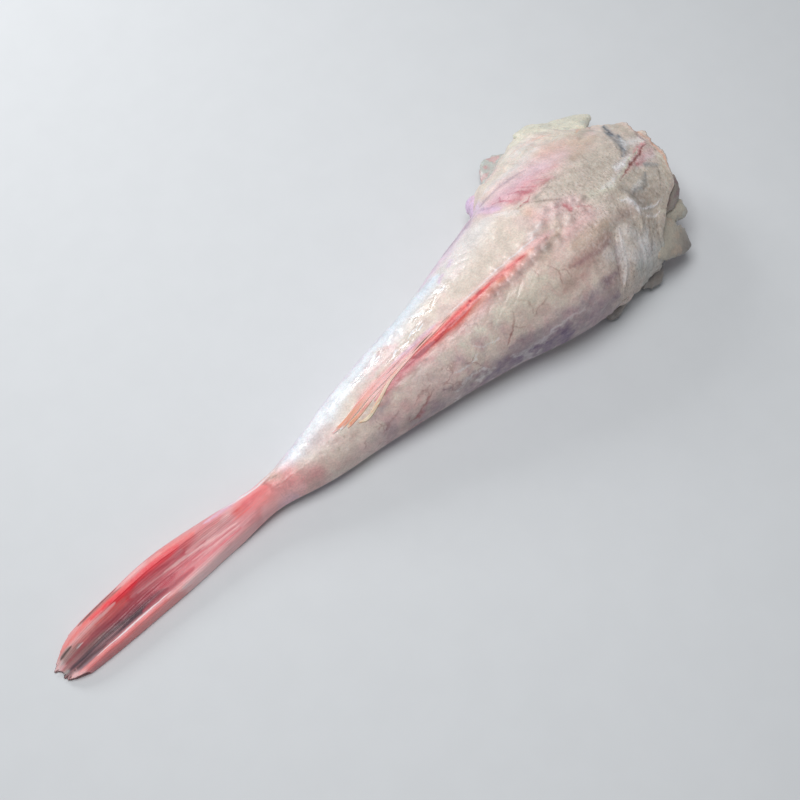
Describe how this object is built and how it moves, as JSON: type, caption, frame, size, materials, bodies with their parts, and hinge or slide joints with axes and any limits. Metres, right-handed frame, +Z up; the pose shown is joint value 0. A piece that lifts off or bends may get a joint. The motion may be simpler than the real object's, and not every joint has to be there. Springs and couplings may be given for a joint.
{
  "type": "frozen monkfish tail",
  "caption": "Whole frozen monkfish tail lying flat: tapering pale flesh, a folded reddish tail fin, a fin laid along the top and torn skin flaps at the cut end.",
  "frame": {"origin": "middle of the box round the tail, at the level of the surface it lies on", "axes": "+X from the tail fin towards the cut end, +Y towards the wide left flap, +Z up"},
  "size_m": [0.4748, 0.1396, 0.0665],
  "materials": {
    "skin": "wet, creamy skin with pink and violet tints",
    "fin": "wet, red and grey folded fin rays",
    "flesh": "moist cut flesh with a pale bone end"
  },
  "bodies": {
    "root": {"monkfish_tail": "skin"}
  },
  "joints": []
}
